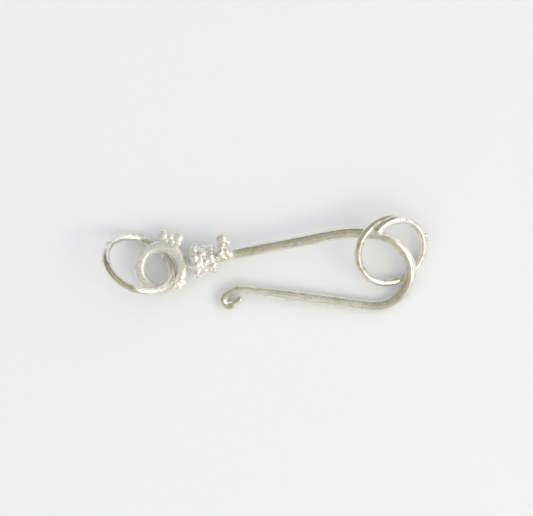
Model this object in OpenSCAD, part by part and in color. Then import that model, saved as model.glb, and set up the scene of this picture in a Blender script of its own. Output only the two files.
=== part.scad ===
// Hook and eye clasp bent from silver wire, closed and lying flat as when it is taken off.
// The hook lies along X with its eye loop at the left, the ring it catches at the right,
// and the floor at Z = 0. Lengths are in millimetres and angles in degrees.

/* [Hook wire] */
// Thickness of the wire that the hook is bent from
hook_wire_d = 1.6; // [1.5:0.05:1.7]
// Thickness of the wire where it is filed down for the curled tip
tip_wire_d = 1.25; // [1.15:0.05:1.3]

/* [Hook shape] */
// Slope of the shank, measured from the line that the clasp lies along
shank_slope = 11.4; // [10.5:0.1:12.5]
// Shank from the centre of the eye loop to where it starts to bend
shank_len = 25.4; // [24:0.1:26.5]
// Radius of the slight bend where the shank meets the hook's crown
shoulder_r = 16; // [14:0.5:18]
// Turn of that slight bend
shoulder_turn = 23.5; // [20:0.5:26]
// Radius of the upper part of the crown
crown_r = 6.4; // [6:0.1:7]
// Turn of the upper part of the crown
crown_turn = 40; // [36:1:44]
// Radius of the lower part of the crown, where the ring hangs
throat_r = 5.2; // [5:0.1:5.6]
// Turn of the lower part of the crown
throat_turn = 135.6; // [134:0.2:137]
// Full-thickness stretch of the leg that runs back from the crown
leg_len = 11; // [10:0.1:12]
// Tapered stretch of that leg
taper_len = 7; // [6:0.1:8]

/* [Curled tip] */
// Radius of the first sweep of the tip, away from the shank
flare_r = 6.9; // [6:0.1:8]
// Turn of the first sweep
flare_turn = 12; // [8:1:16]
// Radius of the second sweep
sweep_r = 2.5; // [2.3:0.1:2.9]
// Turn of the second sweep
sweep_turn = 52; // [46:1:56]
// Radius of the tight fold that ends the curl
fold_r = 0.85; // [0.8:0.05:1]
// Turn of the tight fold
fold_turn = 162; // [155:1:166]
// Straight, tapered end of the curl
tail_len = 1.2; // [1:0.1:1.5]
// Thickness of the wire at the very end
end_wire_d = 0.9; // [0.8:0.05:1]

/* [Eye loop] */
// Inside diameter of the loop at the plain end of the hook
eye_inner_d = 4.5; // [4.4:0.05:4.7]
// Thickness of the loop's wall, which is swollen a little by the solder at the neck
eye_wire_d = 1.68; // [1.66:0.02:1.76]

/* [Neck wrap] */
// Thickness of the fine wire wound round the neck
wrap_wire_d = 0.58; // [0.5:0.01:0.6]
// Advance of the winding in one turn
wrap_pitch = 0.64; // [0.62:0.01:0.68]
// Number of turns
wrap_turns = 2; // [1.5:0.5:2]
// Air between the neck and what is threaded on it
neck_gap = 0.04; // [0.03:0.01:0.05]

/* [Granules] */
// Diameter over the large collar of granules, which the neck rests on
collar_outer_d = 5.3; // [5.25:0.05:5.5]
// Diameter of one of its granules
collar_granule_d = 1.2; // [1.2:0.02:1.24]
// Number of granules round it
collar_count = 11; // [11:1:12]
// Distance of the large collar from the centre of the eye loop
collar_at = 5.2; // [5.1:0.05:5.25]
// Diameter of a granule in the double row beside it
row_granule_d = 1.33; // [1.32:0.01:1.36]
// Number of granules in each of the two rows
row_count = 7; // [7:1:8]

/* [Jump ring] */
// Inside diameter of the plain ring in the eye loop
jump_inner_d = 9.1; // [9:0.05:9.2]
// Thickness of its wire
jump_wire_d = 1.1; // [1:0.05:1.15]
// Angle at which it leans on the eye loop
jump_tilt = 47; // [46:0.5:48.5]

/* [Eye ring] */
// Inside diameter of the ring that the hook catches
ring_inner_d = 9.2; // [9.1:0.05:9.3]
// Thickness of its wire
ring_wire_d = 0.96; // [0.9:0.02:1]
// Angle at which it leans on the shank
ring_tilt = 30; // [29.5:0.5:31]
// Turn over which its two ends lap
lap_turn = 47; // [40:1:52]

/* [Hidden] */
$fn = 48;

hook_r = hook_wire_d / 2;
tip_r = tip_wire_d / 2;
end_r = end_wire_d / 2;
jump_r = jump_wire_d / 2;
ring_r = ring_wire_d / 2;
eye_wire_r = eye_wire_d / 2;
eye_loop_r = (eye_inner_d + eye_wire_d) / 2;
jump_loop_r = (jump_inner_d + jump_wire_d) / 2;
ring_loop_r = (ring_inner_d + ring_wire_d) / 2;

// Steps of the hook's centreline from the wall of the eye loop to the end of the curl.
// A step is either a straight or a bend, and a left turn is positive.
STRAIGHT = 0;
RADIUS = 1;
TURN = 2;
START_R = 3;
END_R = 4;
nose_len = 0.2;
nose_r = 0.6 * end_r;
hook_steps = [
    // straight, bend radius, turn, wire radius at the start, wire radius at the end
    [shank_len - eye_loop_r, 0, 0, hook_r, hook_r],
    [0, shoulder_r, -shoulder_turn, hook_r, hook_r],
    [0, crown_r, -crown_turn, hook_r, hook_r],
    [0, throat_r, -throat_turn, hook_r, hook_r],
    [leg_len, 0, 0, hook_r, hook_r],
    [taper_len, 0, 0, hook_r, tip_r],
    [0, flare_r, flare_turn, tip_r, tip_r],
    [0, sweep_r, sweep_turn, tip_r, tip_r],
    [0, fold_r, fold_turn, tip_r, tip_r],
    [tail_len, 0, 0, tip_r, end_r],
    [nose_len, 0, 0, end_r, nose_r],
];
joint_extra = 0.005;
throat_step = 3;
fold_step = 8;

// Where the centreline is, and which way it heads, before step number n: [x, y, heading].
function direction(angle) = [cos(angle), sin(angle)];
function bend_centre(p, step) =
    [p.x, p.y] + sign(step[TURN]) * step[RADIUS] * direction(p.z + 90);
function after(p, step) =
    step[TURN] == 0
        ? [p.x + step[STRAIGHT] * cos(p.z), p.y + step[STRAIGHT] * sin(p.z), p.z]
        : let (c = bend_centre(p, step),
               e = c + sign(step[TURN]) * step[RADIUS] * direction(p.z + step[TURN] - 90))
          [e.x, e.y, p.z + step[TURN]];
neck_start = [eye_loop_r * cos(shank_slope), eye_loop_r * sin(shank_slope), shank_slope];
function before(n) =
    n == 0 ? neck_start : after(before(n - 1), hook_steps[n - 1]);

throat_centre = bend_centre(before(throat_step), hook_steps[throat_step]);
fold_centre = bend_centre(before(fold_step), hook_steps[fold_step]);
throat_low = throat_centre.y - throat_r;
fold_low = fold_centre.y - fold_r;

// The hook rests on its collar at one side and on its crown at the other, so its plane leans.
collar_r = collar_outer_d / 2;
lean = asin((collar_r - hook_r) / (collar_at * sin(shank_slope) - throat_low));
eye_height = hook_r - throat_low * sin(lean);

// Centres of the rings in plan, from the centre of the eye loop.
jump_at = [-3.25, 0.6];
ring_at = [33.3, 2.6];
// Direction in plan towards the side of each ring that touches the floor.
jump_low_side = 60;
ring_low_side = -47;

// Lap of the eye ring, as turns from its low side. The end that comes round last leaves the
// circle at lap_join, and runs inside the other end and above it.
lap_end = 170;
lap_start = lap_end - lap_turn;
lap_join = 82;
lap_inset = 0.8;
lap_rise = 8.6;
solder_r = 0.25;
solder_turns = [56, 67];

// Half the width of a tilted ring, seen in plan along a direction.
function plan_reach(loop_r, wire_r, tilt, low_side, towards) =
    loop_r * sqrt(1 - pow(sin(tilt) * cos(towards - low_side), 2)) + wire_r;
// The same for a grain of solder on the rim of the eye ring, along X.
function solder_reach(turn) =
    solder_r + (ring_loop_r + ring_r)
        * (cos(turn) * cos(ring_tilt) * cos(ring_low_side) - sin(turn) * sin(ring_low_side));
left_edge = jump_at.x - plan_reach(jump_loop_r, jump_r, jump_tilt, jump_low_side, 180);
right_edge = ring_at.x + max([for (turn = solder_turns) solder_reach(turn)]);
back_edge = ring_at.y + plan_reach(ring_loop_r, ring_r, ring_tilt, ring_low_side, 90);
front_edge = min(fold_low * cos(lean) - tip_r, throat_low * cos(lean) - hook_r);
plan_centre = [(left_edge + right_edge) / 2, (front_edge + back_edge) / 2];

// Granules soldered on the hook: a row on the shoulder of its eye loop, which starts with two
// that are melted together, and a heap where the neck ends.
ALONG = 0;
ACROSS = 1;
LIFT = 2;
SIZE = 3;
shoulder_granules = [
    // along the shank, across it, lift out of the plane, diameter
    [1.2, 4.85, 0, 1.3],
    [1.25, 4.45, 0.1, 1.5],
    [2.2, 4.15, 0.3, 1.2],
    [3.25, 3.75, 0.1, 1.75],
];
heap_granules = [
    [8.95, 0.87, 0.95, 1.3],
    [9.25, 1.5, 0.25, 1.25],
    [9.5, 2.7, 0.3, 1.6],
    [10.15, 2.15, 0.35, 1.15],
    [9.75, 0.8, 0.85, 0.9],
];

// The winding starts beside the wall of the eye loop, nested a little into the hollow there,
// and the double row follows it.
wrap_r = wrap_wire_d / 2;
wrap_loop_r = hook_r + neck_gap + wrap_r;
wrap_nest = 0.1;
wrap_start = eye_loop_r + eye_wire_r + wrap_r - wrap_nest;
wrap_end = wrap_start + wrap_turns * wrap_pitch + wrap_r;
wrap_sides = 8;
wrap_steps = 16;
collar_loop_r = collar_r - collar_granule_d / 2;
row_loop_r = hook_r + neck_gap + row_granule_d / 2;
row_start = wrap_end + neck_gap + row_granule_d / 2;
row_pitch = 1.1;
row_stagger = 180 / row_count;

// A ball with its poles turned away from the seams of the wire that it melts into.
module ball(r) {
    rotate([30, 60, 0])
        sphere(r);
}

module torus(loop_r, wire_r, angle = 360) {
    rotate_extrude(angle = angle, $fn = 120)
        translate([loop_r, 0])
            circle(wire_r, $fn = 32);
}

// One step of the wire, starting at the origin and heading along X. The ball that starts it
// is a hair thicker than the wire and closes the joint with the step before.
module wire_step(step) {
    ball(step[START_R] + joint_extra);
    if (step[TURN] == 0)
        rotate([0, 90, 0])
            cylinder(h = step[STRAIGHT], r1 = step[START_R], r2 = step[END_R]);
    else
        mirror([0, step[TURN] > 0 ? 0 : 1, 0])
            translate([0, step[RADIUS], 0])
                rotate([0, 0, -90])
                    torus(step[RADIUS], step[START_R], abs(step[TURN]));
}

module hook_wire() {
    for (n = [0 : len(hook_steps) - 1]) {
        p = before(n);
        translate([p.x, p.y, 0])
            rotate([0, 0, p.z])
                wire_step(hook_steps[n]);
    }
}

// Places its children in the plane of the leaning hook, from the centre of the eye loop.
module in_hook_plane() {
    translate([-plan_centre.x, -plan_centre.y, eye_height])
        rotate([lean, 0, 0])
            children();
}

// Turns its children so that X runs along the shank.
module along_shank() {
    rotate([0, 0, shank_slope])
        children();
}

module granules(table) {
    for (g = table)
        translate([g[ALONG], g[ACROSS], g[LIFT]])
            ball(g[SIZE] / 2);
}

// Places its children level round a ring's centre, tilted so that one side touches the floor.
module ring_place(at, loop_r, wire_r, tilt, low_side) {
    translate([at.x - plan_centre.x, at.y - plan_centre.y, loop_r * sin(tilt) + wire_r])
        rotate([0, 0, low_side])
            rotate([0, tilt, 0])
                children();
}

module hook() {
    color([0.80, 0.79, 0.75])
        in_hook_plane() {
            hook_wire();
            along_shank() {
                granules(heap_granules);
                rotate([-lean, 0, 0]) {
                    torus(eye_loop_r, eye_wire_r);
                    granules(shoulder_granules);
                }
            }
        }
}

module neck_wrap() {
    color([0.84, 0.83, 0.80])
        in_hook_plane()
            along_shank()
                winding();
}

module granule_collar() {
    color([0.88, 0.87, 0.84])
        in_hook_plane()
            along_shank()
                translate([collar_at, 0, 0])
                    granule_ring(collar_loop_r, collar_granule_d, collar_count);
}

module granule_rows() {
    color([0.88, 0.87, 0.84])
        in_hook_plane()
            along_shank()
                for (n = [0, 1])
                    translate([row_start + n * row_pitch, 0, 0])
                        rotate([n * row_stagger, 0, 0])
                            granule_ring(row_loop_r, row_granule_d, row_count);
}

module granule_ring(loop_r, granule_d, count) {
    for (n = [0 : count - 1])
        rotate([n * 360 / count, 0, 0])
            translate([0, 0, loop_r])
                sphere(d = granule_d);
}

// Fine wire wound round the neck, with round sections set square to its run.
module winding() {
    last = wrap_steps * wrap_turns;
    points = [for (i = [0 : last], s = [0 : wrap_sides - 1]) winding_point(i, s)];
    sides = [for (i = [0 : last - 1], s = [0 : wrap_sides - 1])
        let (t = (s + 1) % wrap_sides)
        [i * wrap_sides + s, i * wrap_sides + t, (i + 1) * wrap_sides + t, (i + 1) * wrap_sides + s]];
    start = [for (s = [wrap_sides - 1 : -1 : 0]) s];
    end = [for (s = [0 : wrap_sides - 1]) last * wrap_sides + s];
    polyhedron(points, concat([start], sides, [end]));
}

function winding_point(i, s) =
    let (a = i * 360 / wrap_steps,
         out = [0, sin(a), cos(a)],
         run = [wrap_pitch / 360 * 180 / PI, wrap_loop_r * cos(a), -wrap_loop_r * sin(a)],
         across = cross(run / norm(run), out),
         b = s * 360 / wrap_sides)
    [wrap_start + i * wrap_pitch / wrap_steps, 0, 0] + wrap_loop_r * out
        + wrap_r * (cos(b) * out + sin(b) * across);

module jump_ring() {
    color([0.76, 0.75, 0.71])
        ring_place(jump_at, jump_loop_r, jump_r, jump_tilt, jump_low_side)
            torus(jump_loop_r, jump_r);
}

module eye_ring() {
    color([0.86, 0.85, 0.82])
        ring_place(ring_at, ring_loop_r, ring_r, ring_tilt, ring_low_side) {
            rotate([0, 0, lap_start])
                torus(ring_loop_r, ring_r, 360 - lap_start + lap_join);
            rotate([0, 0, lap_join])
                translate([ring_loop_r, 0, 0])
                    rotate([0, lap_rise, 0])
                        translate([lap_inset - ring_loop_r, 0, 0])
                            torus(ring_loop_r - lap_inset, ring_r, lap_end - lap_join);
            for (turn = solder_turns)
                rotate([0, 0, turn])
                    translate([ring_loop_r + ring_r, 0, 0])
                        ball(solder_r);
        }
}

hook();
neck_wrap();
granule_collar();
granule_rows();
jump_ring();
eye_ring();
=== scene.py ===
"""Looks of a hook and eye clasp: bent silver wire, melted grains and two rings on a pale ground.

Lengths are in millimetres and angles in degrees. The last step of each shape turns them into
the frame's metres.
"""

import math
from collections import namedtuple

import bpy
import numpy as np
from mathutils import Matrix, Vector, noise
from mathutils.bvhtree import BVHTree


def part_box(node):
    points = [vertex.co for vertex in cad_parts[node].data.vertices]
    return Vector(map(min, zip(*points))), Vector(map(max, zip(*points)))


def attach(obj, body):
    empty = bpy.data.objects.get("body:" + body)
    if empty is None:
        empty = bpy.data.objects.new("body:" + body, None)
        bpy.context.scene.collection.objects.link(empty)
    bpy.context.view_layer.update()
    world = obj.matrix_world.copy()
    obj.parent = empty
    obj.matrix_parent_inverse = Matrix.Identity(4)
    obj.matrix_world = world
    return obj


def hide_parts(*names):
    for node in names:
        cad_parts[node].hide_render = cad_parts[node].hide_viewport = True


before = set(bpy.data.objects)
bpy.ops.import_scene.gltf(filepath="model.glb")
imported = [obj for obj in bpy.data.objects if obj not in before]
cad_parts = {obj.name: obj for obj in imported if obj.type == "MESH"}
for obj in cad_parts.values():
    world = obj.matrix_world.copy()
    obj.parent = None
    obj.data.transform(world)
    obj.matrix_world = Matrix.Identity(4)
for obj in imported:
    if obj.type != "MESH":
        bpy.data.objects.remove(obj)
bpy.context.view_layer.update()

MM = 0.001

# Sizes of the hook
HOOK_R = 0.8
TIP_R = 0.625
END_R = 0.45
SHANK_SLOPE = 11.4
SHANK_LEN = 25.4
EYE_LOOP_R = 3.09
EYE_WIRE_R = 0.84
THROAT_R = 5.2
LEG_LEN = 11
TAPER_LEN = 7

# Steps of the hook's centreline from the wall of the eye loop to the end of the curl
STRAIGHT, RADIUS, TURN, START_R, FINISH_R = range(5)
HOOK_STEPS = [
    # straight, bend radius, turn, wire radius at the start, wire radius at the end
    (SHANK_LEN - EYE_LOOP_R, 0, 0, HOOK_R, HOOK_R),
    (0, 16, -23.5, HOOK_R, HOOK_R),
    (0, 6.4, -40, HOOK_R, HOOK_R),
    (0, THROAT_R, -135.6, HOOK_R, HOOK_R),
    (LEG_LEN, 0, 0, HOOK_R, HOOK_R),
    (TAPER_LEN, 0, 0, HOOK_R, TIP_R),
    (0, 6.9, 12, TIP_R, TIP_R),
    (0, 2.5, 52, TIP_R, TIP_R),
    (0, 0.85, 162, TIP_R, TIP_R),
    (1.2, 0, 0, TIP_R, END_R),
]
# Index of the crown's bend, which comes before the leg
THROAT_STEP = 3

# Waves in each wire's skin: depth, length of a swell, seed
HOOK_WAVES = (0.022, 3.0, 1.0)
HAMMER_MARKS = (0.045, 1.1, 4.0)
LOOP_WAVES = (0.05, 2.5, 7.0)
WRAP_WAVES = (0.012, 0.8, 3.0)
JUMP_WAVES = (0.02, 1.6, 5.0)
RING_WAVES = (0.018, 1.8, 9.0)
# The same for a band of solder, whose seed is its place
BAND_WAVES = (0.06, 0.9)
# Hammer marks where the leg thins: their middle past the leg's straight part, and their spread
HAMMER_AT = 1.5
HAMMER_SPREAD = 4.5
# Stretches over which the hook's wire turns dull or bright again, from the wire's start, and for
# the leg's own start from where the leg begins
NECK_DULL_END = (7.2, 9.0)
LEG_DULL_START = (-2, 3)
LEG_DULL_END = (64, 68)

# Sizes of what is threaded on the neck
NECK_GAP = 0.04
WRAP_R = 0.29
WRAP_PITCH = 0.64
WRAP_TURNS = 2
WRAP_NEST = 0.1
COLLAR_R = 2.65
COLLAR_GRAIN_R = 0.6
COLLAR_COUNT = 11
COLLAR_AT = 5.2
ROW_GRAIN_R = 0.665
ROW_PITCH = 1.1
ROW_COUNT = 7

# Unevenness of grains: place along the neck, size, dents of each kind, and swells to a radius
GRAIN_ASIDE = 0.28
GRAIN_SIZE_RANGE = 0.2
SHOULDER_DENTS = 0.06
COLLAR_DENTS = 0.1
HEAP_DENTS = 0.1
PUDDLE_DENTS = 0.16
ROW_DENTS = 0.18
ROUGH_DENTS = 0.3
DENT_SCALE = 1.4
# Steps through the noise: for a grain's dents, and for its place and size
DENT_STEPS = (3.7, 1.9, -2.3)
CHANCE_STEP = 2.3
CHANCE_SEED_STEP = 0.7
# Forms that are not round: along, across and out, as shares of the radius
PUDDLE_FORM = (1.25, 1, 0.55)
SPECK_FORM = (1.2, 1.8, 1.5)
# Seeds of the grains; each next grain adds 1
SHOULDER_SEED = 1.0
JOINT_SEED = 11.0
FILLET_SEED = 12.0
ROUGH_SEED = 20.0
HEAP_SEED = 30.0
PUDDLE_SEED = 36.0
COLLAR_SEED = 40.0
ROW_SEED = 60.0
ROW_SEED_STEP = 10
SPECK_SEED = 80.0

# Sizes and places of the rings; a low side is the direction in plan of the side on the floor
JUMP_LOOP_R = 5.1
JUMP_R = 0.6
JUMP_TILT = 47
JUMP_LOW_SIDE = 60
JUMP_AT = (-3.25, 0.6)
RING_LOOP_R = 5.08
RING_R = 0.53
RING_TILT = 30
RING_LOW_SIDE = -47
RING_AT = (33.3, 2.6)
# Lap of the eye ring: angles where the outer end begins, where the strand goes inside and where
# that ends; how far inside it lies, and how steeply it rises
LAP_START = 123
LAP_JOIN = 82
LAP_REACH = 184
LAP_INSET = 0.6
LAP_RISE = 8.6
# Grains of solder on the eye ring's rim: radius, and angles round the ring
RING_SOLDER_R = 0.25
RING_SOLDER_TURNS = (56, 67)

# Widths of the lap's ends, as shares of the wire, and where along it they change
OUTER_END_WIDTH = 0.62
OUTER_END_LEN = 2.0
INNER_END_WIDTH = 1.3
INNER_END_LEN = (2, 5)

# Grains on the hook: along the shank, across it, lift out of the plane, diameter
SHOULDER_GRAINS = [
    (1.2, 4.85, 0, 1.3),
    (1.25, 4.45, 0.1, 1.5),
    (2.2, 4.15, 0.3, 1.2),
    (3.25, 3.75, 0.1, 1.75),
]
HEAP_GRAINS = [
    (8.95, 0.87, 0.95, 1.3),
    (9.25, 1.5, 0.25, 1.25),
    (9.5, 2.7, 0.3, 1.75),
    (10.15, 2.15, 0.35, 1.15),
    (9.75, 0.8, 0.85, 0.9),
]
# Solder between the shoulder's grains and the loop, in the same columns
SHOULDER_SOLDER = [
    (1.5, 3.85, 0.0, 1.5),
    (2.3, 3.45, 0.1, 1.5),
    (3.05, 3.1, 0.1, 1.5),
]
# Silver that ran from the heap over the shank, in the same columns
HEAP_PUDDLE = [
    (9.0, 0.1, 0.6, 1.5),
    (9.9, 0.2, 0.55, 1.35),
]
# Stretch of the shank under the heap, and how far the heap's core lies inside the wire
HEAP_CORE = (8.5, 11)
HEAP_CORE_DEPTH = 0.08
# Joint of the shank and the eye loop: place along the shank, radius
NECK_JOINT = (3.35, 0.95)
# Rough solder on the eye loop: direction in plan, reach from the loop's centre, radius
ROUGH_SOLDER = [
    (-44, 3.35, 0.88),
    (-56, 3.3, 0.9),
    (-66, 3.2, 0.86),
]
# Solder round the collar: place along the shank from its middle, depth inside its grains, radius
COLLAR_BANDS = [
    (0, 0.1, 0.42),
    (-0.45, 0.5, 0.36),
    (0.7, 0.45, 0.5),
]
# Solder round the rows: place along the shank in pitches, depth inside the grains, radius
ROW_BANDS = [
    (0, 0.05, 0.45),
    (1, 0.05, 0.45),
    (0.5, 0.3, 0.45),
]

# Profiles of a wire's end: share of its radius, and distance past its end in radii
ROUND_END = [(0.96, 0.28), (0.84, 0.54), (0.62, 0.78), (0.33, 0.94)]
BLUNT_END = [(0.97, 0.05), (0.9, 0.1), (0.75, 0.13), (0.4, 0.15)]

# Fineness of the shapes
HOOK_SIDES = 48
RING_SIDES = 40
FINE_SIDES = 24
WIRE_SPACING = 0.12
LOOP_SPACING = 0.15
BAND_SPACING = 0.2
WRAP_STATIONS = 64
LOOP_VOXEL = 0.06
GRAIN_VOXEL = 0.045
SPECK_VOXEL = 0.03
BALL_RINGS = 24
BALL_SIDES = 36
# Rounds of smoothing that melt shapes together
MELT = 2
SPECK_MELT = 1

# How dull each kind of melted or wound silver is, from 0 to 1
LOOP_MATTE = 0.7
NECK_MATTE = 0.7
GRAIN_MATTE = 0.5
HEAP_MATTE = 0.4
WRAP_MATTE = 0.4
# The leg's dullness at its sides, how much is added on top, and how steeply up that begins
LEG_MATTE = 0.15
LEG_TOP_MATTE = 0.3
LEG_TOP = (0.55, 0.95)

# Finish of each slot: colour, roughness where it is polished, depth of the drawn lines, shares of
# pits and of tarnished patches, colour of the tarnish in hollows
Finish = namedtuple("Finish", "colour gloss lines pits patches tarnish")
FINISHES = {
    "hook_silver": Finish((0.94, 0.93, 0.87), 0.16, 1.0, 0.3, 0.25, (0.13, 0.085, 0.04)),
    "wrap_silver": Finish((0.96, 0.95, 0.9), 0.2, 0.6, 0.3, 0.1, (0.42, 0.38, 0.27)),
    "granule_silver": Finish((1.0, 0.97, 0.95), 0.14, 0.3, 0.2, 0.3, (0.2, 0.13, 0.07)),
    "ring_silver": Finish((0.97, 0.95, 0.91), 0.15, 0.5, 0.5, 0.45, (0.13, 0.085, 0.04)),
}
STREAK_SHADE = 0.86
PIT_COLOUR = (0.32, 0.27, 0.2, 1)
PATCH_COLOUR = (0.42, 0.37, 0.27, 1)
MATTE_METALLIC = 0.42
HAIR_ROUGHNESS = 0.12
MATTE_ROUGHNESS = 0.14
# Noise of each kind: stretch along a wire and across it, scale, detail, roughness
STREAKS = ((0.16, 3.2, 3.2), 1.6, 3.0, 0.55)
HAIRS = ((0.5, 9.0, 9.0), 2.0, 2.0, 0.55)
SWELLS = ((1, 1, 1), 1.1, 2.0, 0.55)
GRIT = ((1, 1, 1), 7.0, 4.0, 0.7)
FIBRES = ((1, 1, 1), 900.0, 3.0, 0.55)
# Values of the noise between which each mark sets in
STREAK_EDGE = (0.4, 0.65)
HAIR_EDGE = (0.3, 0.7)
SPECK_EDGE = (0.62, 0.72)
PATCH_EDGE = (0.52, 0.68)
STAIN_EDGE = (0.95, 1.4)
# What swells and grit add to the hollows' stain
SWELL_STAIN = 0.4
GRIT_STAIN = 0.3
# Depth of the fine relief, and shares of it
RELIEF_DEPTH = 0.03
HAIR_RELIEF = 0.35
PIT_RELIEF = -0.5
SWELL_RELIEF = 0.8

# Rays that look for hollows: how many, reach, lift off the skin, share of the half-ball
HOLLOW_RAYS = 12
HOLLOW_REACH = 0.5
HOLLOW_LIFT = 0.02
HOLLOW_SHARE = 0.85

# Stage
FLOOR_R = 2400
FLOOR_STEP = 5
FLOOR_DROP = 0.02
PAPER_COLOURS = ((0.85, 0.855, 0.86, 1), (0.87, 0.875, 0.88, 1))
PAPER_ROUGHNESS = 0.9
PAPER_SPECULAR = 0.1
# Tones of the room
FRONT_SKY = (0.56, 0.525, 0.44, 1)
TOP_SKY = (0.42, 0.415, 0.33, 1)
DARK_CORNER = (0.27, 0.255, 0.175, 1)
RIGHT_GLOW = (1.0, 0.98, 0.95, 1)
BELOW = (0.8, 0.8, 0.79, 1)
# Where one tone of the room gives way to the next, as parts of a direction of length 1
FRONT_EDGE = (-0.75, 0.12)
CORNER_TOP = (0.72, 0.45)
CORNER_FOOT = (0.06, 0.2)
CORNER_SIDE = (0.2, 0.7)
RIGHT_EDGE = (0.3, 0.75)
HORIZON = (-0.12, 0.02)
# Lights: where each stands, its size, its light, and whether it shows in silver and lights things
Light = namedtuple("Light", "name azimuth elevation distance size brightness colour mirrored lights")
LIGHTS = [
    Light("key_window", -28, 46, 450, (240, 140), 2.8, (1.0, 0.97, 0.36), True, True),
    Light("reflected_card", -12, 44, 460, (420, 250), 1.5, (1.0, 0.98, 0.95), True, False),
    Light("front_fill", -80, 50, 620, (900, 700), 0.2, (0.8, 0.8, 1.0), False, True),
    Light("ceiling_fill", 100, 85, 700, (2400, 2400), 0.47, (0.91, 0.965, 1.26), False, True),
]
# Picture: width in pixels, millimetres to the pixel, its middle and the level where that holds
PICTURE_WIDTH = 533
PIXEL = 0.145
PICTURE_AT = (0.18, 0.725)
PICTURE_LEVEL = 3
LENS = 300
SENSOR = 36
CLIP = (10, 10000)


# Places


def direction(angle):
    """Unit vector in the plane at an angle."""
    return np.array([math.cos(math.radians(angle)), math.sin(math.radians(angle))])


def bend_centre(place, step):
    """Centre of the bend that starts at a place, which is x, y and heading."""
    return np.array(place[:2]) + math.copysign(step[RADIUS], step[TURN]) * direction(place[2] + 90)


def after(place, step, share=1.0):
    """Place after a share of one step."""
    heading = place[2] + share * step[TURN]
    if step[TURN] == 0:
        end = np.array(place[:2]) + share * step[STRAIGHT] * direction(heading)
    else:
        reach = math.copysign(step[RADIUS], step[TURN])
        end = bend_centre(place, step) + reach * direction(heading - 90)
    return (end[0], end[1], heading)


def step_length(step):
    """Length of the centreline in one step."""
    return step[STRAIGHT] or abs(math.radians(step[TURN])) * step[RADIUS]


def turned(angle, axis):
    """Rotation by degrees about an axis."""
    return Matrix.Rotation(math.radians(angle), 4, axis)


def node_centre(node):
    """Centre of a CAD node's box."""
    low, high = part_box(node)
    return (np.array(low) + np.array(high)) / 2 / MM


hook_places = [(*(EYE_LOOP_R * direction(SHANK_SLOPE)), SHANK_SLOPE)]
for hook_step in HOOK_STEPS:
    hook_places.append(after(hook_places[-1], hook_step))
LEG_START = sum(step_length(step) for step in HOOK_STEPS[:THROAT_STEP + 1])
THROAT_LOW = bend_centre(hook_places[THROAT_STEP], HOOK_STEPS[THROAT_STEP])[1] - THROAT_R
COLLAR_RISE = COLLAR_AT * math.sin(math.radians(SHANK_SLOPE))
LEAN = math.degrees(math.asin((COLLAR_R - HOOK_R) / (COLLAR_RISE - THROAT_LOW)))
EYE_HEIGHT = HOOK_R - THROAT_LOW * math.sin(math.radians(LEAN))
EYE = node_centre("jump_ring") - np.array([*JUMP_AT, 0])

# Frames of the leaning hook, of its shank, and of the eye loop, which lies level
HOOK_PLANE = Matrix.Translation((EYE[0], EYE[1], EYE_HEIGHT)) @ turned(LEAN, "X")
ALONG_SHANK = HOOK_PLANE @ turned(SHANK_SLOPE, "Z")
EYE_LEVEL = ALONG_SHANK @ turned(-LEAN, "X")
WRAP_START = EYE_LOOP_R + EYE_WIRE_R + WRAP_R - WRAP_NEST
ROW_START = WRAP_START + WRAP_TURNS * WRAP_PITCH + WRAP_R + NECK_GAP + ROW_GRAIN_R


def ring_frame(at, loop_r, wire_r, tilt, low_side):
    """Frame of a ring that leans on the hook and touches the floor at its low side."""
    height = loop_r * math.sin(math.radians(tilt)) + wire_r
    place = Matrix.Translation((EYE[0] + at[0], EYE[1] + at[1], height))
    return place @ turned(low_side, "Z") @ turned(tilt, "Y")


# Shapes


class Wire:
    """Stations along a wire: centre, run, direction out of its plane, radius and length so far."""

    def __init__(self, centres, runs, outs, radii):
        self.centres = np.array(centres, float)
        self.runs = np.array(runs, float)
        self.outs = np.array(outs, float)
        self.radii = np.array(radii, float)
        gaps = np.linalg.norm(np.diff(self.centres, axis=0), axis=1)
        self.lengths = np.concatenate([[0], np.cumsum(gaps)])

    def joined(self, other):
        """This wire and another one that goes on from its end."""
        return Wire(
            np.vstack([self.centres[:-1], other.centres]),
            np.vstack([self.runs[:-1], other.runs]),
            np.vstack([self.outs[:-1], other.outs]),
            np.concatenate([self.radii[:-1], other.radii]),
        )

    def moved(self, matrix):
        """The same wire placed by a matrix."""
        turn = np.array(matrix.to_3x3())
        shift = np.array(matrix.to_translation())
        return Wire(self.centres @ turn.T + shift, self.runs @ turn.T, self.outs @ turn.T, self.radii)


def traced(places, steps, spacing):
    """Wire that follows steps in the XY plane."""
    centres, runs, radii = [], [], []
    for place, step in zip(places, steps):
        count = math.ceil(step_length(step) / spacing)
        for i in range(count):
            x, y, heading = after(place, step, i / count)
            centres.append((x, y, 0))
            runs.append((*direction(heading), 0))
            radii.append(step[START_R] + (step[FINISH_R] - step[START_R]) * i / count)
    x, y, heading = places[len(steps)]
    centres.append((x, y, 0))
    runs.append((*direction(heading), 0))
    radii.append(steps[-1][FINISH_R])
    return Wire(centres, runs, [(0, 0, 1)] * len(radii), radii)


def arc(loop_r, wire_r, first, last, spacing):
    """Wire bent to an arc in the XY plane, from one angle to another."""
    count = math.ceil(math.radians(last - first) * loop_r / spacing)
    angles = np.linspace(first, last, count + 1)
    centres = [(*(loop_r * direction(a)), 0) for a in angles]
    runs = [(*direction(a + 90), 0) for a in angles]
    return Wire(centres, runs, [(0, 0, 1)] * len(angles), [wire_r] * len(angles))


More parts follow.
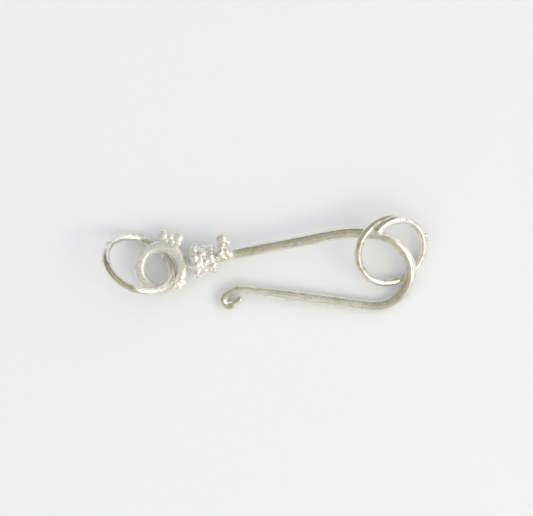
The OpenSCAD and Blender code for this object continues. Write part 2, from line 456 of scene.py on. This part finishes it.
def capped(wire, at_start, at_end):
    """Wire with a few more stations at its start and end, from their profiles."""
    parts = []
    for profile, i, sign in ((at_start[::-1], 0, -1), (at_end, -1, 1)):
        parts.append([(wire.centres[i] + sign * reach * wire.radii[i] * wire.runs[i],
                       share * wire.radii[i]) for share, reach in profile])
    count = [len(part) for part in parts]
    return Wire(
        [c for c, _ in parts[0]] + list(wire.centres) + [c for c, _ in parts[1]],
        [wire.runs[0]] * count[0] + list(wire.runs) + [wire.runs[-1]] * count[1],
        [wire.outs[0]] * count[0] + list(wire.outs) + [wire.outs[-1]] * count[1],
        [r for _, r in parts[0]] + list(wire.radii) + [r for _, r in parts[1]],
    )


def skin(wire, sides, relief=None, closed=False):
    """Vertices, faces and corner coordinates of the skin round a wire.

    relief(length, angle) is how far the skin stands proud of the wire's radius. A corner
    coordinate is the length along the wire and the place across it.
    """
    across = np.cross(wire.runs, wire.outs)
    angles = np.arange(sides) * 2 * math.pi / sides
    count = len(wire.radii) - (1 if closed else 0)
    radii = np.repeat(wire.radii[:count, None], sides, axis=1)
    if relief:
        for i in range(count):
            radii[i] += [relief(wire.lengths[i], a) for a in angles]
    cosines, sines = np.cos(angles), np.sin(angles)
    points = (wire.centres[:count, None]
              + (radii * cosines)[:, :, None] * across[:count, None]
              + (radii * sines)[:, :, None] * wire.outs[:count, None])
    vertices = [tuple(p) for p in points.reshape(-1, 3)]
    faces, coords = [], []
    for i in range(count if closed else count - 1):
        j = (i + 1) % count
        for s in range(sides):
            t = (s + 1) % sides
            faces.append((i * sides + s, j * sides + s, j * sides + t, i * sides + t))
            for station, length, side in ((i, wire.lengths[i], s), (j, wire.lengths[i + 1], s),
                                          (j, wire.lengths[i + 1], t), (i, wire.lengths[i], t)):
                r = wire.radii[station]
                coords.append((length, r * cosines[side], r * sines[side]))
    if not closed:
        for i, flip in ((0, False), (count - 1, True)):
            centre = len(vertices)
            vertices.append(tuple(points[i].mean(axis=0)))
            for s in range(sides):
                t = (s + 1) % sides
                corner = (t, s) if flip else (s, t)
                faces.append((centre, i * sides + corner[0], i * sides + corner[1]))
                coords.append((wire.lengths[i], 0, 0))
                for side in corner:
                    r = wire.radii[i]
                    coords.append((wire.lengths[i], r * cosines[side], r * sines[side]))
    return vertices, faces, coords


def grain(centre, radius, seed, dents, form=(1, 1, 1)):
    """Vertices and faces of a lumpy ball."""
    rings, sides = BALL_RINGS, BALL_SIDES
    unit = [(0, 0, 1)]
    for i in range(1, rings):
        polar = math.pi * i / rings
        for s in range(sides):
            a = 2 * math.pi * s / sides
            unit.append((math.sin(polar) * math.cos(a), math.sin(polar) * math.sin(a), math.cos(polar)))
    unit.append((0, 0, -1))
    faces = []
    last = len(unit) - 1
    for s in range(sides):
        t = (s + 1) % sides
        faces.append((0, 1 + s, 1 + t))
        faces.append((last, last - sides + t, last - sides + s))
        for i in range(rings - 2):
            a, b = 1 + i * sides, 1 + (i + 1) * sides
            faces.append((a + s, b + s, b + t, a + t))
    shift = Vector([seed * step for step in DENT_STEPS])
    vertices = []
    for u in unit:
        r = radius * (1 + dents * noise.noise(Vector(u) * DENT_SCALE + shift))
        vertices.append(tuple(centre[k] + r * u[k] * form[k] for k in range(3)))
    return vertices, faces


def placed(shape, matrix):
    """Vertices and faces moved by a matrix."""
    return [tuple(matrix @ Vector(v)) for v in shape[0]], shape[1]


def together(shapes):
    """Several shapes as one."""
    vertices, faces = [], []
    for shape in shapes:
        base = len(vertices)
        vertices += shape[0]
        faces += [tuple(base + i for i in face) for face in shape[1]]
    return vertices, faces


def new_piece(name, vertices, faces):
    """Smooth-shaded object in metres, from vertices in millimetres."""
    mesh = bpy.data.meshes.new(name)
    mesh.from_pydata([(x * MM, y * MM, z * MM) for x, y, z in vertices], [], faces)
    mesh.shade_smooth()
    piece = bpy.data.objects.new(name, mesh)
    bpy.context.scene.collection.objects.link(piece)
    return piece


def wire_piece(name, wire, sides, relief=None, closed=False, matte=None):
    """Piece of wire, with its corner coordinates kept for the material.

    matte(length, angle) is how dull the skin is, from 0 to 1.
    """
    vertices, faces, coords = skin(wire, sides, relief, closed)
    piece = new_piece(name, vertices, faces)
    layer = piece.data.attributes.new("wire", "FLOAT_VECTOR", "CORNER")
    layer.data.foreach_set("vector", np.array(coords, np.float32).ravel())
    dull = [matte(length, math.atan2(up, across)) if matte else 0.0 for length, across, up in coords]
    piece.data.attributes.new("matte", "FLOAT", "CORNER").data.foreach_set("value", dull)
    return piece


def melted_piece(name, shapes, voxel, flow, matte=0.0):
    """Piece with one skin over several shapes, run together as melted silver does."""
    piece = new_piece(name, *together(shapes))
    remesh = piece.modifiers.new("skin", "REMESH")
    remesh.mode = "VOXEL"
    remesh.voxel_size = voxel * MM
    smooth = piece.modifiers.new("flow", "SMOOTH")
    smooth.iterations = flow
    graph = bpy.context.evaluated_depsgraph_get()
    mesh = bpy.data.meshes.new_from_object(piece.evaluated_get(graph))
    piece.modifiers.clear()
    piece.data = mesh
    mesh.name = name
    mesh.shade_smooth()
    points = np.empty(len(mesh.vertices) * 3, np.float32)
    mesh.vertices.foreach_get("co", points)
    layer = mesh.attributes.new("wire", "FLOAT_VECTOR", "POINT")
    layer.data.foreach_set("vector", points / MM)
    layer = mesh.attributes.new("matte", "FLOAT", "POINT")
    layer.data.foreach_set("value", np.full(len(mesh.vertices), matte, np.float32))
    return piece


def seat(piece, node, slot):
    """The piece stands for a CAD node and takes its slot's finish."""
    piece.data.materials.clear()
    piece.data.materials.append(materials[slot])
    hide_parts(node)
    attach(piece, "root")
    return piece


# Sub-parts


def ripple(length, angle, size, seed):
    """Noise on a wire's skin, about one swell per size of length."""
    return noise.noise(Vector((length / size, math.cos(angle) + seed, math.sin(angle) - seed)))


def waves(depth, size, seed):
    """Relief of a wire's skin, as a function of length and angle."""
    return lambda length, angle: depth * ripple(length, angle, size, seed)


def hook_relief(length, angle):
    """Slow waves of hand-drawn wire, and hammer marks where the leg thins to the tip."""
    middle = LEG_START + LEG_LEN + HAMMER_AT
    hammered = math.exp(-((length - middle) / HAMMER_SPREAD) ** 2)
    return waves(*HOOK_WAVES)(length, angle) + hammered * waves(*HAMMER_MARKS)(length, angle)


def smooth_step(value, low, high):
    """0 below low, 1 above high, and a smooth slope between."""
    t = min(1.0, max(0.0, (value - low) / (high - low)))
    return t * t * (3 - 2 * t)


def hook_matte(length, angle):
    """The leg is duller on top, where the hammer met it, and so is the shank beside the heap."""
    neck = 1 - smooth_step(length, *NECK_DULL_END)
    leg = smooth_step(length - LEG_START, *LEG_DULL_START) * (1 - smooth_step(length, *LEG_DULL_END))
    top = smooth_step(math.sin(angle), *LEG_TOP)
    return max(leg * (LEG_MATTE + LEG_TOP_MATTE * top), NECK_MATTE * neck)


def hook_wire():
    """Wire of the shank, the crown, the leg and the curl."""
    wire = capped(traced(hook_places, HOOK_STEPS, WIRE_SPACING), BLUNT_END, ROUND_END)
    return wire_piece("hook_wire", wire.moved(HOOK_PLANE), HOOK_SIDES, hook_relief, matte=hook_matte)


def grains_at(rows, matrix, seed, dents, form=(1, 1, 1)):
    """Shapes of single grains, from rows of place along, across and out, and diameter."""
    return [placed(grain(row[:3], row[3] / 2, seed + n, dents, form), matrix)
            for n, row in enumerate(rows)]


def eye_loop():
    """Loop at the plain end, with the grains on its shoulder and rough solder at its lower side."""
    loop = arc(EYE_LOOP_R, EYE_WIRE_R, 0, 360, LOOP_SPACING)
    shapes = [placed(skin(loop, HOOK_SIDES, waves(*LOOP_WAVES), closed=True)[:2], EYE_LEVEL)]
    shapes += grains_at(SHOULDER_GRAINS, EYE_LEVEL, SHOULDER_SEED, SHOULDER_DENTS)
    joint_at, joint_r = NECK_JOINT
    joint = grain((joint_at, 0, 0), joint_r, JOINT_SEED, SHOULDER_DENTS)
    shapes.append(placed(joint, ALONG_SHANK))
    shapes += grains_at(SHOULDER_SOLDER, EYE_LEVEL, FILLET_SEED, SHOULDER_DENTS)
    for n, (turn, reach, lump_r) in enumerate(ROUGH_SOLDER):
        at = (*(reach * direction(turn)), 0)
        shapes.append(placed(grain(at, lump_r, n + ROUGH_SEED, ROUGH_DENTS), EYE_LEVEL))
    return melted_piece("eye_loop", shapes, LOOP_VOXEL, MELT, LOOP_MATTE)


def heap():
    """Grains melted on the shank where the neck ends."""
    ends = [(along, 0, 0) for along in HEAP_CORE]
    core = Wire(ends, [(1, 0, 0)] * 2, [(0, 0, 1)] * 2, [HOOK_R - HEAP_CORE_DEPTH] * 2)
    shapes = [placed(skin(core, HOOK_SIDES)[:2], ALONG_SHANK)]
    shapes += grains_at(HEAP_GRAINS, ALONG_SHANK, HEAP_SEED, HEAP_DENTS)
    shapes += grains_at(HEAP_PUDDLE, ALONG_SHANK, PUDDLE_SEED, PUDDLE_DENTS, PUDDLE_FORM)
    return melted_piece("heap", shapes, GRAIN_VOXEL, MELT, HEAP_MATTE)


def grain_ring(at, loop_r, grain_r, count, turn, seed, dents):
    """Shapes of grains set round the neck, each a little aside and larger or smaller."""
    shapes = []
    for n in range(count):
        chance = Vector((n * CHANCE_STEP, seed * CHANCE_SEED_STEP, at))
        aside = GRAIN_ASIDE * noise.noise(chance)
        radius = grain_r * (1 + GRAIN_SIZE_RANGE * noise.noise(-chance))
        place = (ALONG_SHANK @ Matrix.Translation((at + aside, 0, 0))
                 @ turned(turn + n * 360 / count, "X"))
        shapes.append(placed(grain((0, 0, loop_r), radius, seed + n, dents), place))
    return shapes


def solder_band(at, loop_r, band_r):
    """Ring of solder that fills the hollows between grains."""
    place = ALONG_SHANK @ Matrix.Translation((at, 0, 0)) @ turned(90, "Y")
    ring = arc(loop_r, band_r, 0, 360, BAND_SPACING)
    return placed(skin(ring, FINE_SIDES, waves(*BAND_WAVES, at), closed=True)[:2], place)


def collar():
    """Large ring of grains that the neck rests on."""
    loop_r = COLLAR_R - COLLAR_GRAIN_R
    shapes = grain_ring(COLLAR_AT, loop_r, COLLAR_GRAIN_R, COLLAR_COUNT, 0, COLLAR_SEED, COLLAR_DENTS)
    for along, depth, band_r in COLLAR_BANDS:
        shapes.append(solder_band(COLLAR_AT + along, loop_r - depth, band_r))
    return melted_piece("collar", shapes, GRAIN_VOXEL, MELT, GRAIN_MATTE)


def grain_rows():
    """Two rings of grains beside the winding."""
    loop_r = HOOK_R + NECK_GAP + ROW_GRAIN_R
    shapes = []
    for n in range(2):
        shapes += grain_ring(ROW_START + n * ROW_PITCH, loop_r, ROW_GRAIN_R, ROW_COUNT,
                             n * 180 / ROW_COUNT, ROW_SEED + ROW_SEED_STEP * n, ROW_DENTS)
    for pitches, depth, band_r in ROW_BANDS:
        shapes.append(solder_band(ROW_START + pitches * ROW_PITCH, loop_r - depth, band_r))
    return melted_piece("grain_rows", shapes, GRAIN_VOXEL, MELT, GRAIN_MATTE)


def neck_wrap():
    """Fine wire wound round the neck."""
    loop_r = HOOK_R + NECK_GAP + WRAP_R
    centres, runs, outs = [], [], []
    for i in range(WRAP_STATIONS * WRAP_TURNS + 1):
        turns = i / WRAP_STATIONS
        a = 2 * math.pi * turns
        out = np.array([0, math.sin(a), math.cos(a)])
        run = np.array([WRAP_PITCH / (2 * math.pi), loop_r * math.cos(a), -loop_r * math.sin(a)])
        centres.append(np.array([WRAP_START + turns * WRAP_PITCH, 0, 0]) + loop_r * out)
        runs.append(run / np.linalg.norm(run))
        outs.append(out)
    wire = capped(Wire(centres, runs, outs, [WRAP_R] * len(outs)), ROUND_END, ROUND_END)
    return wire_piece("neck_wrap", wire.moved(ALONG_SHANK), FINE_SIDES, waves(*WRAP_WAVES),
                      matte=lambda length, angle: WRAP_MATTE)


def jump_ring():
    """Plain ring in the eye loop."""
    place = ring_frame(JUMP_AT, JUMP_LOOP_R, JUMP_R, JUMP_TILT, JUMP_LOW_SIDE)
    wire = arc(JUMP_LOOP_R, JUMP_R, 0, 360, WIRE_SPACING).moved(place)
    return wire_piece("jump_ring", wire, RING_SIDES, waves(*JUMP_WAVES), closed=True)


def eye_ring():
    """Ring of one length of wire whose ends lap."""
    place = ring_frame(RING_AT, RING_LOOP_R, RING_R, RING_TILT, RING_LOW_SIDE)
    main = arc(RING_LOOP_R, RING_R, LAP_START, 360 + LAP_JOIN, WIRE_SPACING)
    outer = [smooth_step(length, 0, OUTER_END_LEN) for length in main.lengths]
    main.radii *= OUTER_END_WIDTH + (1 - OUTER_END_WIDTH) * np.array(outer)
    lap_frame = (turned(LAP_JOIN, "Z") @ Matrix.Translation((RING_LOOP_R, 0, 0)) @ turned(LAP_RISE, "Y")
                 @ Matrix.Translation((LAP_INSET - RING_LOOP_R, 0, 0)))
    lap = arc(RING_LOOP_R - LAP_INSET, RING_R, 0, LAP_REACH - LAP_JOIN, WIRE_SPACING).moved(lap_frame)
    inner = [smooth_step(length, *INNER_END_LEN) for length in lap.lengths]
    lap.radii *= 1 + (INNER_END_WIDTH - 1) * np.array(inner)
    wire = capped(main.joined(lap), BLUNT_END, BLUNT_END).moved(place)
    return wire_piece("eye_ring", wire, RING_SIDES, waves(*RING_WAVES))


def ring_solder():
    """Two grains of solder on the eye ring's rim."""
    place = ring_frame(RING_AT, RING_LOOP_R, RING_R, RING_TILT, RING_LOW_SIDE)
    rim = (RING_LOOP_R + RING_R, 0, 0)
    shapes = []
    for n, turn in enumerate(RING_SOLDER_TURNS):
        oval = grain(rim, RING_SOLDER_R, SPECK_SEED + n, SHOULDER_DENTS, SPECK_FORM)
        shapes.append(placed(oval, place @ turned(turn, "Z")))
    return melted_piece("ring_solder", shapes, SPECK_VOXEL, SPECK_MELT)


# Materials


def add(tree, kind, inputs=None, **settings):
    """New node whose inputs are numbers or other nodes' outputs."""
    node = tree.nodes.new(kind)
    for key, value in settings.items():
        setattr(node, key, value)
    for key, value in (inputs or {}).items():
        if isinstance(value, bpy.types.NodeSocket):
            tree.links.new(value, node.inputs[key])
        else:
            node.inputs[key].default_value = value
    return node


def band(tree, value, low, high, to_low=0.0, to_high=1.0):
    """Value from low to high, mapped smoothly."""
    inputs = {0: value, 1: low, 2: high, 3: to_low, 4: to_high}
    return add(tree, "ShaderNodeMapRange", inputs, interpolation_type="SMOOTHSTEP").outputs[0]


def combine(tree, operation, a, b):
    """Result of one sum or product."""
    return add(tree, "ShaderNodeMath", {0: a, 1: b}, operation=operation).outputs[0]


def mixed(tree, factor, a, b):
    """Colour between two colours."""
    inputs = {0: factor, 6: a, 7: b}
    return add(tree, "ShaderNodeMix", inputs, data_type="RGBA").outputs[2]


def noise_on(tree, coords, stretch, scale, detail, roughness):
    """Noise over coordinates that are stretched along each axis."""
    mapping = add(tree, "ShaderNodeMapping", {"Vector": coords, "Scale": stretch})
    inputs = {"Vector": mapping.outputs[0], "Scale": scale, "Detail": detail, "Roughness": roughness}
    return add(tree, "ShaderNodeTexNoise", inputs).outputs["Fac"]


def silver(name, finish):
    """Worn silver: lines along the wire, pits, patches of tarnish and more of it in the hollows.

    Silver that the piece marks as matte is rougher, and whiter.
    """
    material = bpy.data.materials.new(name)
    material.use_nodes = True
    tree = material.node_tree
    shader = tree.nodes["Principled BSDF"]
    coords = add(tree, "ShaderNodeAttribute", attribute_name="wire").outputs["Vector"]
    hollow = add(tree, "ShaderNodeAttribute", attribute_name="hollow").outputs["Fac"]
    matte = add(tree, "ShaderNodeAttribute", attribute_name="matte").outputs["Fac"]

    streaks = noise_on(tree, coords, *STREAKS)
    hairs = noise_on(tree, coords, *HAIRS)
    swells = noise_on(tree, coords, *SWELLS)
    grit = noise_on(tree, coords, *GRIT)
    specks = band(tree, grit, *SPECK_EDGE)
    stain = combine(tree, "ADD", combine(tree, "MULTIPLY", swells, SWELL_STAIN), hollow)
    stain = combine(tree, "ADD", stain, combine(tree, "MULTIPLY", grit, GRIT_STAIN))
    stain = band(tree, stain, *STAIN_EDGE)

    shade = [STREAK_SHADE * part for part in finish.colour]
    tone = mixed(tree, band(tree, streaks, *STREAK_EDGE), (*shade, 1), (*finish.colour, 1))
    tone = mixed(tree, combine(tree, "MULTIPLY", specks, finish.pits), tone, PIT_COLOUR)
    patches = combine(tree, "MULTIPLY", band(tree, swells, *PATCH_EDGE), finish.patches)
    tone = mixed(tree, patches, tone, PATCH_COLOUR)
    tone = mixed(tree, stain, tone, (*finish.tarnish, 1))
    tree.links.new(tone, shader.inputs["Base Color"])

    metallic = band(tree, matte, 0.0, 1.0, 1.0, MATTE_METALLIC)
    tree.links.new(metallic, shader.inputs["Metallic"])
    polish = band(tree, hairs, *HAIR_EDGE, finish.gloss, finish.gloss + HAIR_ROUGHNESS)
    dull = combine(tree, "MULTIPLY", combine(tree, "MAXIMUM", stain, matte), MATTE_ROUGHNESS)
    tree.links.new(combine(tree, "ADD", polish, dull), shader.inputs["Roughness"])

    height = combine(tree, "MULTIPLY", streaks, finish.lines)
    for mark, share in ((hairs, finish.lines * HAIR_RELIEF), (specks, PIT_RELIEF * finish.pits),
                        (swells, SWELL_RELIEF)):
        height = combine(tree, "ADD", height, combine(tree, "MULTIPLY", mark, share))
    bump = add(tree, "ShaderNodeBump", {"Height": height, "Distance": RELIEF_DEPTH * MM})
    tree.links.new(bump.outputs[0], shader.inputs["Normal"])
    return material


def floor_paper():
    """Smooth pale paper."""
    material = bpy.data.materials.new("floor_paper")
    material.use_nodes = True
    tree = material.node_tree
    shader = tree.nodes["Principled BSDF"]
    place = add(tree, "ShaderNodeTexCoord").outputs["Object"]
    fibres = noise_on(tree, place, *FIBRES)
    tone = mixed(tree, fibres, *PAPER_COLOURS)
    tree.links.new(tone, shader.inputs["Base Color"])
    shader.inputs["Roughness"].default_value = PAPER_ROUGHNESS
    shader.inputs["Specular IOR Level"].default_value = PAPER_SPECULAR
    return material


# Hollows, for the tarnish


def ray_directions():
    """Directions spread over most of a half-ball about the Z axis."""
    golden = math.pi * (3 - math.sqrt(5))
    ways = []
    for n in range(HOLLOW_RAYS):
        height = 1 - HOLLOW_SHARE * (n + 0.5) / HOLLOW_RAYS
        flat = math.sqrt(1 - height * height)
        ways.append((flat * math.cos(n * golden), flat * math.sin(n * golden), height))
    return ways


def mark_hollows(pieces):
    """Keeps on each vertex the share of short rays from it that meet silver."""
    points, faces = [], []
    for piece in pieces:
        base = len(points)
        points += [v.co.copy() for v in piece.data.vertices]
        faces += [tuple(base + i for i in p.vertices) for p in piece.data.polygons]
    tree = BVHTree.FromPolygons(points, faces)
    ways = ray_directions()
    for piece in pieces:
        mesh = piece.data
        values = np.zeros(len(mesh.vertices), np.float32)
        for vertex in mesh.vertices:
            normal = vertex.normal
            side = normal.orthogonal().normalized()
            other = normal.cross(side)
            start = vertex.co + normal * (HOLLOW_LIFT * MM)
            hits = 0
            for x, y, z in ways:
                way = side * x + other * y + normal * z
                if tree.ray_cast(start, way, HOLLOW_REACH * MM)[0] is not None:
                    hits += 1
            values[vertex.index] = hits / HOLLOW_RAYS
        layer = mesh.attributes.new("hollow", "FLOAT", "POINT")
        layer.data.foreach_set("value", values)


# Stage


def floor():
    """Pale ground, a large disc just under the part."""
    vertices = [(0, 0, -FLOOR_DROP)]
    vertices += [(*(FLOOR_R * direction(a)), -FLOOR_DROP) for a in range(0, 360, FLOOR_STEP)]
    count = len(vertices) - 1
    ground = new_piece("floor", vertices, [(0, 1 + s, 1 + (s + 1) % count) for s in range(count)])
    ground.data.materials.append(floor_paper())


def window(light):
    """Soft rectangular light that faces the part."""
    lamp = bpy.data.lights.new(light.name, "AREA")
    lamp.shape = "RECTANGLE"
    lamp.size = light.size[0] * MM
    lamp.size_y = light.size[1] * MM
    lamp.energy = light.brightness * math.pi * lamp.size * lamp.size_y
    lamp.color = light.colour
    thing = bpy.data.objects.new(light.name, lamp)
    flat = math.cos(math.radians(light.elevation)) * direction(light.azimuth)
    way = Vector((*flat, math.sin(math.radians(light.elevation))))
    facing = way.to_track_quat("Z", "Y").to_matrix().to_4x4()
    thing.matrix_world = Matrix.Translation(way * light.distance * MM) @ facing
    thing.visible_camera = False
    thing.visible_glossy = light.mirrored
    thing.visible_diffuse = light.lights
    bpy.context.scene.collection.objects.link(thing)


def surroundings():
    """Soft room: tan in front, olive-grey above, dark low at the back and left, white at the right."""
    world = bpy.data.worlds.new("room")
    world.use_nodes = True
    bpy.context.scene.world = world
    tree = world.node_tree
    way = add(tree, "ShaderNodeTexCoord").outputs["Generated"]
    east, north, up = add(tree, "ShaderNodeSeparateXYZ", {0: way}).outputs
    sky = mixed(tree, band(tree, north, *FRONT_EDGE), FRONT_SKY, TOP_SKY)
    behind = combine(tree, "SUBTRACT", north, east)
    height = combine(tree, "MULTIPLY", band(tree, up, *CORNER_TOP), band(tree, up, *CORNER_FOOT))
    corner = combine(tree, "MULTIPLY", height, band(tree, behind, *CORNER_SIDE))
    sky = mixed(tree, corner, sky, DARK_CORNER)
    sky = mixed(tree, band(tree, east, *RIGHT_EDGE), sky, RIGHT_GLOW)
    tone = mixed(tree, band(tree, up, *HORIZON), BELOW, sky)
    tree.links.new(tone, tree.nodes["Background"].inputs["Color"])
    tree.nodes["Background"].inputs["Strength"].default_value = 1.0


def camera():
    """Overhead camera, far off with a long lens, over the middle of the picture."""
    lens = bpy.data.cameras.new("camera")
    lens.sensor_width = SENSOR
    lens.lens = LENS
    lens.clip_start, lens.clip_end = (reach * MM for reach in CLIP)
    thing = bpy.data.objects.new("camera", lens)
    height = PICTURE_LEVEL + PICTURE_WIDTH * PIXEL * LENS / SENSOR
    thing.location = Vector((*PICTURE_AT, height)) * MM
    bpy.context.scene.collection.objects.link(thing)
    bpy.context.scene.camera = thing


materials = {slot: silver(slot, finish) for slot, finish in FINISHES.items()}
silver_pieces = [
    seat(hook_wire(), "hook", "hook_silver"),
    seat(eye_loop(), "hook", "hook_silver"),
    seat(heap(), "hook", "hook_silver"),
    seat(neck_wrap(), "neck_wrap", "wrap_silver"),
    seat(collar(), "granule_collar", "granule_silver"),
    seat(grain_rows(), "granule_rows", "granule_silver"),
    seat(jump_ring(), "jump_ring", "ring_silver"),
    seat(eye_ring(), "eye_ring", "ring_silver"),
    seat(ring_solder(), "eye_ring", "ring_silver"),
]
mark_hollows(silver_pieces)

floor()
for light in LIGHTS:
    window(light)
surroundings()
camera()
bpy.context.scene.view_settings.view_transform = "Standard"
